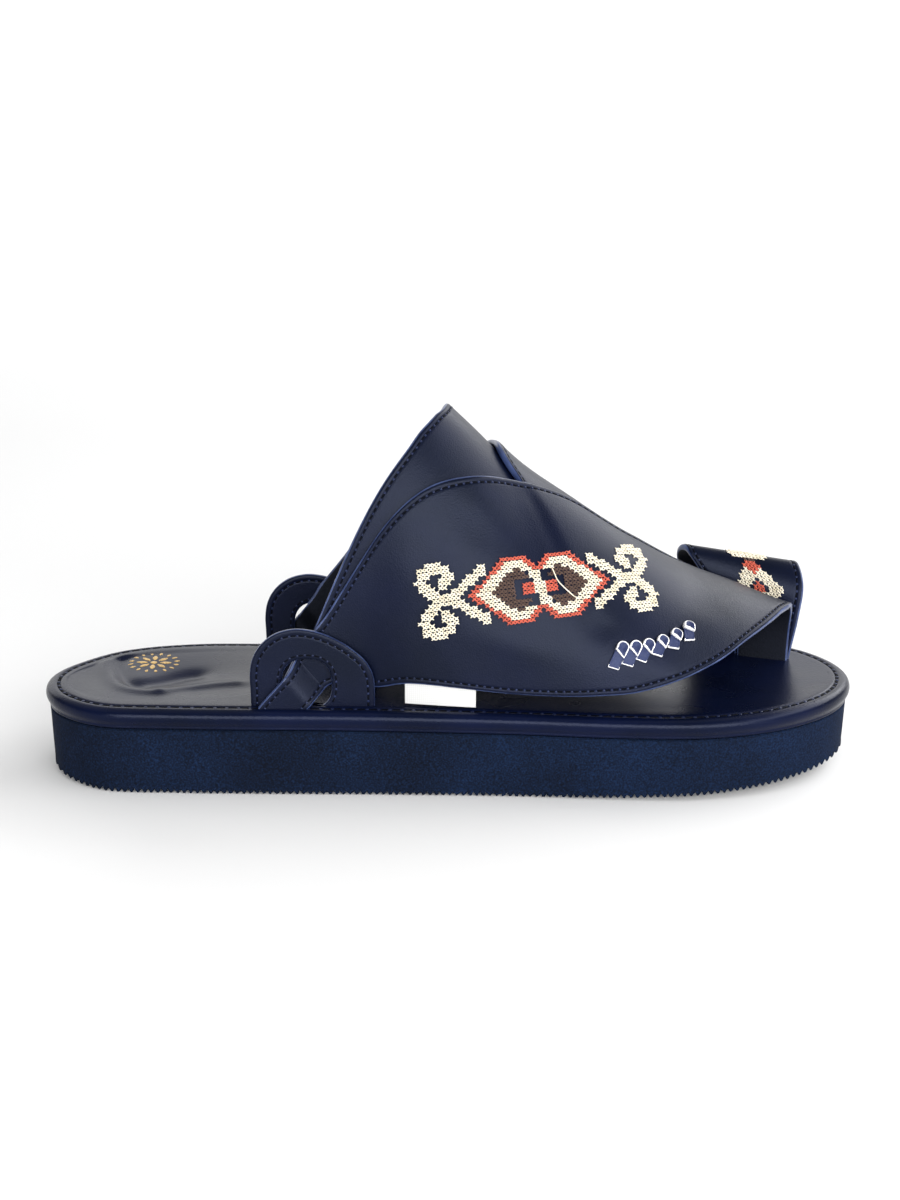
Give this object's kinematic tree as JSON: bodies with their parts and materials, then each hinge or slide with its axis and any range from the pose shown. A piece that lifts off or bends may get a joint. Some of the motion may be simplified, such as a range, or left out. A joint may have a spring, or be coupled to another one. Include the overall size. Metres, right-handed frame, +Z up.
{
  "type": "arabic sandal",
  "caption": "Open leather sandal for the right foot: crossed instep wings held by side ears, an instep band and a toe loop on a thick foamed sole.",
  "frame": {"origin": "on the floor under the middle of the box", "axes": "+X towards the toe, +Y towards the inner side of the foot, +Z up"},
  "size_m": [0.287, 0.0976, 0.1284],
  "materials": {
    "sole_foam": "matt foamed sole, fine texture",
    "footbed_leather": "glossy finished leather, rounded rim, stitched all round",
    "ear_leather": "semi-gloss leather with painted edges",
    "strap_leather": "semi-gloss leather, black lining, stitched edges",
    "embroidered_leather": "semi-gloss leather with counted-thread embroidery",
    "label_cloth": "plain woven tape, nothing printed",
    "lace_leather": "narrow thong with white cut edges"
  },
  "bodies": {
    "root": {"outsole": "sole_foam", "footbed": "footbed_leather", "ear_outer": "ear_leather", "ear_inner": "ear_leather", "instep_band": "strap_leather", "wing_inner": "strap_leather", "wing_outer": "embroidered_leather", "toe_loop": "embroidered_leather", "blank_label": "label_cloth", "lace_1": "lace_leather", "lace_2": "lace_leather", "lace_3": "lace_leather", "lace_4": "lace_leather", "lace_5": "lace_leather", "lace_6": "lace_leather"}
  },
  "joints": []
}
